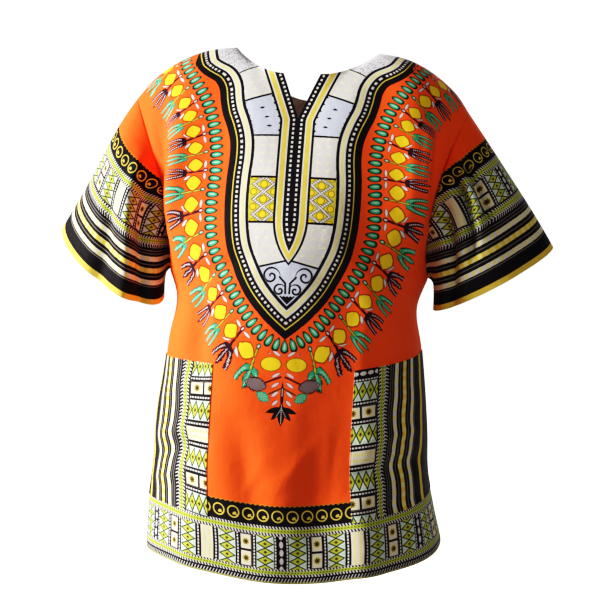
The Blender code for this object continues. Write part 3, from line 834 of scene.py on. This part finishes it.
def ring_print(cotton, drops, out):
    """The ring round the yoke: leaf drops, then fruits between stems that end in three-fingered claws."""
    across = drops.wrapped(1) * DROP_PITCH
    drop = oval(across * (1.08 - out * 0.03), out, 4.9, 10.0)
    cotton.dye(drop, swatch(14, 40, 30))
    cotton.dye(drop + 1.5, TEAL)
    cotton.dye(leaf(across - 0.4, out - 0.5, 1.0, 5.2), MINT, soft=1.2)

    beyond = (1.2 - drops) * DROP_PITCH
    across = (drops - 1.95).wrapped(2.5) * DROP_PITCH
    even = (abs((drops - 1.95).wrapped(5)) - 1.25) * DROP_PITCH
    bend = across + (out - 40) * 0.12
    arms = abs(oval(bend, out - 69, 8.4, 26)) - 2.2
    claw = (arms & (stripe(out, 40, 70) + abs(bend) * 0.25)) | leaf(bend, out - 59, 2.9, 15)
    stem = stroke(bend, out, (3.2, 15), (0, 45), 1.6)
    bud = oval(bend - 3.4, out - 15, 2.7, 4.2)
    light = (abs(oval(bend, out - 69, 8.4, 26)) - 0.55) | (abs(bend) - 0.5)
    light = light & (abs(out.wrapped(2.6)) - 0.8)
    light = light & stripe(out, 47, 69)
    for colour, glow, side in ((TEAL, MINT, even), (MAROON, ROSE, 0 - even)):
        side = side & beyond
        cotton.dye(claw, DEEP_GREEN if colour == TEAL else MAROON, side)
        if colour == TEAL:
            cotton.dye(claw + 0.8, TEAL, side)
        cotton.dye(stem, BROWN if colour == TEAL else MAROON, side)
        if colour == TEAL:
            cotton.dye(stem + 0.9, LIME, side)
        cotton.dye(bud, DEEP_GREEN if colour == TEAL else MAROON, side)
        cotton.dye(light, glow, side & (claw + 0.3))
        cotton.dye(oval(bend - 3.4, out - 15, 1.2, 2.4), glow, side)
    across = (drops - 4.45).wrapped(5) * DROP_PITCH
    for shift, away, height, lean in ((6.3, 8.8, 15.4, 84), (0.0, 8.2, 40, -42)):
        x, y = turned(abs(across - shift) - away, out - height, lean)
        petal = leaf(x, y, 2.5, 6.6)
        cotton.dye(petal, MAROON, beyond)
        cotton.dye(petal + 0.7, WHITE, beyond)
    across = (drops - 3.2).wrapped(2.5) * DROP_PITCH
    wide = across * (1.30 - out * 0.010)
    fruit = oval(wide, out - 29.5, 9.4, 10.4)
    fruit = (fruit + lozenge(wide + (out - 29.5) * 0.2, out - 29.5, 12.0, 12.5)) * 0.5
    inner = (2.0 - drops) * DROP_PITCH
    cotton.dye(fruit - 0.9, swatch(196, 58, 10), inner)
    cotton.dye(fruit, BROWN, inner)
    cotton.dye(fruit + 0.8, YELLOW, inner)


def medallion_print(cotton, across, up):
    """The ornament below the ring's foot: two fruits, petals, side leaves and a fan of dark leaves."""
    away = abs(across)
    for x, y, lean, size in (
        (9.5, -110.5, 58, 7.0),
        (9.5, -139, 58, 7.2),
        (9.8, -152, 55, 7.2),
        (9.6, -164, 50, 6.8),
        (9.0, -175.5, 45, 6.4),
    ):
        turned_x, turned_y = turned(away - x, up - y, -lean if y > -112 else lean)
        petal = leaf(turned_x, turned_y, 2.5, size)
        cotton.dye(petal, MAROON)
        cotton.dye(petal + 0.6, ROSE)
    fruit = oval(away - 16.9, up + 124.5, 14.2, 9.6)
    cotton.dye(fruit, BROWN)
    cotton.dye(fruit + 0.8, YELLOW)
    cotton.dye(stroke(away, up, (3.0, -141), (24, -150), 1.3), MAROON)
    for x, y, lean, half_width, half_length, colour, edge, glow in (
        (35, -152, 76, 10.5, 16.5, MAROON, BLACK, ROSE),
        (25, -168, 56, 7.6, 11.0, TEAL, DEEP_GREEN, MINT),
    ):
        leaf_x, leaf_y = turned(away - x, up - y, -lean)
        spikes = abs(leaf_y.wrapped(4.4)) * 0.75
        shape = leaf(leaf_x, leaf_y, half_width, half_length) + spikes
        cotton.dye(shape, edge)
        cotton.dye(shape + 0.7, colour)
        ribs = abs((abs(leaf_x) + leaf_y).wrapped(3.4)) - 0.45
        cotton.dye(ribs, glow, shape + 1.9)
    cotton.dye(stroke(away, up, (2.0, -156), (17, -164), 1.1), BROWN)
    cotton.dye(leaf(across, up + 165, 2.3, 19), BLACK)
    cotton.dye(abs(across) - 0.4, ROSE, stripe(up, -166, -156))
    fan = leaf(across, up + 190, 4.8, 16)
    for lean, length in ((38, 15), (72, 15.5)):
        side = length * 0.6 * math.sin(math.radians(lean))
        drop = length * 0.6 * math.cos(math.radians(lean))
        x, y = turned(away - side, up + 182 + drop, lean)
        fan = fan | leaf(x, y, 3.6, length * 0.8)
    cotton.dye(fan, BLACK)
    veins = abs(abs(across) - (up + 182) * -0.55) - 0.4
    cotton.dye(veins, ROSE, (fan + 1.2) & (abs(up.wrapped(2.4)) - 0.8))
    cotton.dye(abs(across) - 0.45, ROSE, (fan + 1.5) & (abs(up.wrapped(2.4)) - 0.8))


def yoke_print(cotton, deep, along):
    """The bands of the yoke, from its outline inwards."""
    cotton.dye(-1.2 - deep, BLACK)
    cotton.dye(stripe(deep, 8.4, 9.9), GOLD)
    cotton.dye(block(deep - 15.4, along.wrapped(6.8), 1.6, 1.7), WHITE)
    cotton.dye(stripe(deep, 20.5, 28.8), WHITE)
    cotton.dye(stripe(deep, 22.8, 26.8), PALE_YELLOW)


def speckled(cotton, within):
    place = cotton.node("TexCoord", {}, {}, 3)
    cotton.dye(within, swatch(214, 214, 220))
    specks = cotton.noise(place, 560.0, 1.0)
    cotton.dye((specks - 0.39) * 9, swatch(96, 96, 106), within)


def centre_print(cotton, deep, place, strip):
    """The figured panels inside the yoke, the scrolls at its foot, and the strip down to below the slit."""
    across, up, _ = place
    aside, along, _ = strip
    away = abs(across)
    panel = 33.2 - deep
    cotton.dye(panel, WHITE)
    marks = block((aside - 31.5).wrapped(13.5), (along + 3).wrapped(11.6), 2.6, 1.3)
    cotton.dye(marks, swatch(226, 230, 190), panel, soft=1.4)

    lozenges = stripe(along, 187, 260)
    cotton.dye(lozenges, COOL_WHITE, panel)
    spots = lozenge(aside - 15.5 - along * 0.11, (along - 222.5).wrapped(18.5), 4.2, 2.2)
    cotton.dye(spots, BLACK, panel & stripe(along, 195, 251))
    notch = abs(along.wrapped(12.2)) * 1.1 - 2.2
    cotton.dye((deep - 32.5 + notch) | (aside - 24 + notch), BLACK, panel & lozenges)

    netting = stripe(along, 64, 126)
    cell = (along - 95).wrapped(20.6)
    middle = aside - 38.5
    cotton.dye(netting, swatch(204, 190, 70), panel)
    net = abs(abs(middle) / 13.5 + abs(cell) / 10.3 - 1) * 8
    cotton.dye(net - 2.3, MAROON, panel & netting)
    cotton.dye(net - 1.5, WHITE, panel & netting)
    cotton.dye(abs((middle + along).wrapped(4.4)) - 0.5, MAROON, panel & netting & (net - 1.6))
    rounds = oval(middle, cell, 5.2, 5.2) | oval(abs(middle) - 13.5, abs(cell) - 10.3, 4.6, 4.6)
    cotton.dye(rounds, MAROON, panel & netting)
    cotton.dye(rounds + 0.8, YELLOW, panel & netting)

    lines = (abs(along - 64) | abs(along - 126)) | (abs(along - 187) | abs(along - 260))
    cotton.dye(lines - 1.6, BLACK, panel)
    collar = 309.7 + (56.8 - aside) * 0.2 - along
    speckled(cotton, panel & collar)
    cotton.dye(abs(collar) - 1.1, BLACK, panel)

    foot = up - 14 + away * 0.25
    cotton.dye(foot, COOL_WHITE, panel)
    cotton.dye(abs(foot) - 1.4, BLACK, panel)
    for x, y, pitch, reach, start in ((22.5, -8, 8.2, 12.6, -1.0), (10.5, -26.5, 6.6, 8.8, 0.0)):
        x, y = away - x, up - y
        radius = (x * x + y * y) ** 0.5
        angle = cotton.maths("ARCTAN2", y, x)
        arm = abs((radius - angle * (pitch / math.tau) + start).wrapped(pitch)) - 1.4
        cotton.dye(arm, BLACK, panel & (foot + 1) & (radius - reach))
    stalk = stroke(away, up, (10.8, -9), (3.2, -17), 1.4) | stroke(away, up, (3.2, -17), (2.6, -30), 1.4)
    cotton.dye(stalk, BLACK, panel)
    teeth = abs(away.wrapped(4.4)) * 0.7
    cotton.dye((up + 33.5 + teeth) & (away - 45 - up), BLACK, panel)

    taper = cotton.maths("MAXIMUM", 75 - up, 0) ** 2.4 * 0.000942
    reach = aside + taper
    within = 20 - deep
    cotton.dye(reach - 24, BLACK, within)
    cotton.dye(stripe(reach, 11, 20.6), WHITE, within)
    cotton.dye(stripe(reach, 12.6, 19.0), GOLD, within)
    cotton.dye(block(reach - 5.2, along.wrapped(6.8), 1.4, 1.7), WHITE, within)


def finish(cotton, place, stitches, rolled):
    """The weave, fine creases, sewn lines and rolled edges; uneven dyes; and the paler inner face."""
    across, up, _ = place
    flat = cotton.node("TexCoord", {}, {}, 3)
    crumple = cotton.noise(flat, 38.0, 3.0)
    ripple = cotton.noise(flat, 140.0, 2.0)
    weave = cotton.maths("SINE", across * (math.tau / 0.9)) * cotton.maths("SINE", up * (math.tau / 0.9))
    cotton.height = crumple * 1.3 + ripple * 0.25 + weave * 0.035
    thread = cotton.maths("MULTIPLY_ADD", cotton.noise(flat, 900.0, 1.0), 0.22, 0.89)
    for edge, along in stitches:
        cotton.raise_by(abs(edge) - 0.8, -0.35)
        cotton.raise_by(block(edge, along.wrapped(3.2), 0.35, 1.1), 0.3)
    for edge in rolled:
        cotton.raise_by(edge - 1.2, -0.8, 2.4)
    wear = cotton.noise(flat, 9.0, 3.0) * 0.16 + 0.92
    scaled = cotton.node("VectorMath", {"operation": "SCALE"}, {0: cotton.colour, 3: wear * thread})
    inner = cotton.node("Mix", {"data_type": "RGBA"}, {0: 0.5, 6: scaled, 7: swatch(206, 170, 150)}, 2)
    outside = cotton.node("Attribute", {"attribute_name": "outside"}, {}, 2)
    colour = cotton.node("Mix", {"data_type": "RGBA"}, {0: outside, 6: inner, 7: scaled}, 2)
    surface = cotton.tree.nodes["Principled BSDF"]
    cotton.tree.links.new(colour, surface.inputs["Base Color"])
    rough = crumple * 0.12 + 0.7
    cotton.tree.links.new(rough.socket, surface.inputs["Roughness"])
    bump = cotton.node("Bump", {}, {"Strength": 1.0, "Distance": 0.001, "Height": cotton.height})
    cotton.tree.links.new(bump, surface.inputs["Normal"])
    surface.inputs["Specular IOR Level"].default_value = 0.12
    surface.inputs["Sheen Weight"].default_value = 0.03
    surface.inputs["Sheen Roughness"].default_value = 0.5


# The sleeves' cloth is shaped before the front's, as the two share their lean at the armholes.
def sleeve_loop(front, back):
    """The armhole, from the underarm up the front to the shoulder and down the back to the underarm."""
    first = LOWER_ROWS * FINE
    return np.concatenate([front[first:, -1], back[-2 : first - 1 : -1, -1]])


def sleeve_tube(end, armhole):
    """Points of a sleeve, rows from the armhole to the hem and columns round it from the underarm seam."""
    count = len(armhole)
    turn = np.arange(count) / (count - 1) * 2 * math.pi
    middle = np.array([end.side * end.out, 0.0, end.height])
    reach = np.array([end.side * end.reach, 0.0, end.rise])
    ahead = np.array([-end.side * end.dip / 3, -end.half_depth, -end.dip])
    hem = middle - np.cos(turn)[:, None] * reach + np.sin(turn)[:, None] * ahead
    share = 1 - np.abs(turn / math.pi - 1)
    facing = np.where(turn <= math.pi, FRONT, BACK)
    leave, arrive = pulls_at(SLEEVE_PULLS, share, end.side, facing)
    down = (np.arange(SLEEVE_ROWS * FINE + 1) / (SLEEVE_ROWS * FINE))[:, None, None]
    return ease(armhole, leave, hem, arrive, down)


def sleeve_folds(count, side):
    turn = np.arange(count) / (count - 1) * 360
    down = (np.arange(SLEEVE_ROWS * FINE + 1) / (SLEEVE_ROWS * FINE))[:, None]
    height = np.zeros((len(down), count))
    for fold in SLEEVE_FOLDS:
        if fold.side == side:
            centre = fold.start_turn + (fold.end_turn - fold.start_turn) * down
            begun = np.clip((down - fold.start_along) * 6, 0.0, 1.0)
            ended = np.clip((fold.end_along - down) * 6 + 1, 0.0, 1.0)
            height += fold.depth * begun * ended * np.exp(-(((turn - centre) / fold.half_width) ** 2))
    return height * np.clip(down * 6, 0.0, 1.0)


SleeveEnd = namedtuple("SleeveEnd", "side out height reach rise half_depth dip")
SLEEVE_ENDS = (
    SleeveEnd(RIGHT, 0.267, -0.307, 0.0765, 0.043, 0.062, 0.041),
    SleeveEnd(LEFT, 0.272, -0.308, 0.0810, 0.045, 0.063, 0.020),
)
SLEEVE_PULLS = (
    Pull(0.00, 0.035, 0.00, -0.010, 0.000, 0.00, -0.050),
    Pull(0.25, 0.070, 0.05, -0.050, 0.020, -0.01, -0.120),
    Pull(0.50, 0.140, 0.09, -0.100, 0.080, -0.02, -0.190),
    Pull(1.00, 0.122, 0.00, -0.170, 0.110, 0.00, -0.180),
)
SleeveFold = namedtuple("SleeveFold", "side start_turn start_along end_turn end_along half_width depth")
SLEEVE_FOLDS = (
    SleeveFold(RIGHT, 74, 0.04, 54, 1.00, 13, -0.0160),
    SleeveFold(RIGHT, 100, 0.00, 78, 1.00, 10, 0.0075),
    SleeveFold(RIGHT, 128, 0.45, 106, 1.00, 9, -0.0080),
    SleeveFold(RIGHT, 250, 0.20, 265, 0.90, 13, -0.0060),
    SleeveFold(RIGHT, 225, 0.40, 230, 1.00, 12, -0.0040),
    SleeveFold(LEFT, 66, 0.02, 52, 0.90, 8, -0.0120),
    SleeveFold(LEFT, 92, 0.02, 84, 0.62, 5, -0.0170),
    SleeveFold(LEFT, 103, 0.02, 98, 0.50, 5, 0.0060),
    SleeveFold(LEFT, 114, 0.02, 108, 0.55, 5, -0.0140),
    SleeveFold(LEFT, 140, 0.50, 128, 1.00, 12, -0.0030),
    SleeveFold(LEFT, 262, 0.15, 275, 0.85, 13, -0.0060),
    SleeveFold(LEFT, 230, 0.40, 236, 1.00, 12, -0.0040),
)

sleeves = {}
for end in SLEEVE_ENDS:
    front, back = (end.side, FRONT), (end.side, BACK)
    armhole = sleeve_loop(points[front], points[back])
    tube = sleeve_tube(end, armhole)
    tube_normals = grid_normals(tube, -end.side)
    tube_normals[:, 0] = tube_normals[:, -1] = unit(tube_normals[:, 0] + tube_normals[:, -1])
    body = sleeve_loop(normals[front], normals[back])
    shared = unit(tube_normals[0] + body)
    tube_normals[0] = shared
    half = UPPER_ROWS * FINE + 1
    normals[front][LOWER_ROWS * FINE :, -1] = shared[:half]
    normals[back][LOWER_ROWS * FINE :, -1] = shared[: half - 2 : -1]
    outer = tube + tube_normals * sleeve_folds(len(armhole), end.side)[:, :, None]
    outer[0] += unit(outer[1] - outer[0]) * SEAM_GAP
    down = lengths(tube, 0)
    around = lengths(tube, 1)
    top = half - 1
    facts = {"place": 1000 * vector_of(around - around[:, top : top + 1], down[-1:] - down, down)}
    name = "sleeve_" + side_name(end.side) + "_cotton"
    sleeves[end.side] = cloth(name, [{"outer": outer, "direction": tube_normals, "places": facts}])


def body_cotton(name, facing):
    """The cloth of the front or back, in two halves from its middle to its side seams."""
    halves = []
    for side in (RIGHT, LEFT):
        grid, direction = points[side, facing], normals[side, facing]
        outer = grid + direction * panel_folds(grid, side, facing)[:, :, None]
        outer[:, :, 1] += facing * SEAM_GAP / 2
        points[side, facing] = outer
        halves.append({"outer": outer, "direction": direction, "places": places[side, facing]})
    return cloth(name, halves)


def printed_cotton(name):
    material = bpy.data.materials.new(name)
    material.use_nodes = True
    return material, Cotton(material.node_tree, ORANGE)


def finish_body(cotton, place, yoke, strip):
    """The border above the hem, the hem's worn edge, and the stitching of the neck and hem."""
    cotton.lay(border, place[2] + 79, place[0] + 100, 91.5, 95.5)
    cotton.dye(place[2] - 2.5, swatch(150, 148, 92))
    finish(cotton, place, [(yoke[1] - 5, strip[1]), (place[2] - 11, place[0])], [strip[2]])


DROP_PITCH = 10.93  # millimetres round the ring from one leaf drop to the next

border = print_part(border_print, "up", "along", "lime_low", "lime_high")
ring_part = print_part(ring_print, "drops", "out")
yoke_part = print_part(yoke_print, "deep", "along")

front_cloth = body_cotton("front_cotton", FRONT)
front_paint, cotton = printed_cotton("front_print")
place, yoke, strip, ring = (cotton.readings(key) for key in ("place", "yoke", "strip", "ring"))
cotton.lay(ring_part, ring[0], ring[1])
medallion_print(cotton, place[0], place[1])
cotton.lay(yoke_part, yoke[0], yoke[2])
centre_print(cotton, yoke[0], place, strip)
finish_body(cotton, place, yoke, strip)
front_cloth.data.materials.append(front_paint)
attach(front_cloth, "root")
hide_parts("front")

# Back
# One panel of the same printed cotton, with a shallower round neck and no slit, sewn to the front at the
# shoulders and down both sides. The photo hides it, so the ring, yoke and border simply carry on round it.
back_cloth = body_cotton("back_cotton", BACK)
back_paint, cotton = printed_cotton("back_print")
place, yoke, strip, ring = (cotton.readings(key) for key in ("place", "yoke", "strip", "ring"))
cotton.lay(ring_part, ring[0], ring[1])
cotton.lay(yoke_part, yoke[0], yoke[2])
speckled(cotton, 33.2 - yoke[0])
finish_body(cotton, place, yoke, strip)
back_cloth.data.materials.append(back_paint)
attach(back_cloth, "root")
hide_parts("back")


# Right sleeve
# A short wide tube of the same cotton, closed by a seam under the arm and sewn round the armhole. The border
# print runs round it, and its hem is turned up once and stitched.
def sleeve_print(name, offset):
    """The border above the sleeve's hem; the offset sets where its blocks fall round the sleeve."""
    material, cotton = printed_cotton(name)
    place = cotton.readings("place")
    cotton.lay(border, place[1], place[0] + offset, 87.5, 92.5)
    finish(cotton, place, [(place[1] - 12, place[0])], [place[2]])
    return material


right_sleeve = sleeves[RIGHT]
right_sleeve.data.materials.append(sleeve_print("sleeve_right_print", 105.0))
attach(right_sleeve, "root")
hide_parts("sleeve_right")

# Left sleeve
# The same tube on the wearer's left, which hangs a little lower and has sharper pleats near the armhole.
# It is cut from the same cotton, and sewn and hemmed in the same way.
left_sleeve = sleeves[LEFT]
left_sleeve.data.materials.append(sleeve_print("sleeve_left_print", 137.0))
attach(left_sleeve, "root")
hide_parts("sleeve_left")


# Right pocket
# A patch cut from the border print and turned upright. Its top is hemmed, its inner edge and foot are sewn
# to the front, and its outer edge goes into the side seam.
def pocket_cotton(name, side):
    patch = np.s_[POCKET_FIRST_ROW * FINE : POCKET_LAST_ROW * FINE + 1, POCKET_COLUMN * FINE :]
    under, direction = points[side, FRONT][patch], normals[side, FRONT][patch]
    outer = under + (SEAM_GAP + CLOTH) * direction
    spots = places[side, FRONT]["place"][patch]
    across, up = np.abs(spots[:, :, 0]), spots[:, :, 2]
    edges = vector_of(across - across[:, :1], up - up[:1], up[-1:] - up)
    return cloth(name, [{"outer": outer, "direction": direction, "places": {"place": spots, "patch": edges}}])


def pocket_print(name, lift, lean):
    """The border turned upright and a little wavy; the lift and lean set where its blocks fall."""
    material, cotton = printed_cotton(name)
    place, patch = (cotton.readings(key) for key in ("place", "patch"))
    across = abs(place[0])
    wave = cotton.maths("SINE", (place[2] + across * 0.4) / 9) * 0.9
    share = cotton.maths("MULTIPLY_ADD", abs(place[2] - 215), -0.025, 1.2, clamp=True)
    inward = 227 - across + wave * share
    rows = (place[2] - lift) * 0.9 + (inward - 100) * (place[2] - 130) * lean
    cotton.lay(border, inward, rows, 87.5, 92.5)
    edges = [(patch[0] - 2, patch[1]), (patch[1] - 2, patch[0]), (patch[2] - 8, patch[0])]
    finish(cotton, place, edges, [])
    return material


right_pocket = pocket_cotton("pocket_right_cotton", RIGHT)
right_pocket.data.materials.append(pocket_print("pocket_right_print", 177.0, -0.0014))
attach(right_pocket, "root")
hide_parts("pocket_right")

# Left pocket
# The same patch on the wearer's left, with a top that slants up a little more towards the side seam.
# It is cut from the same border print, and hemmed and sewn in the same way.
left_pocket = pocket_cotton("pocket_left_cotton", LEFT)
left_pocket.data.materials.append(pocket_print("pocket_left_print", 157.0, 0.0))
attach(left_pocket, "root")
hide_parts("pocket_left")
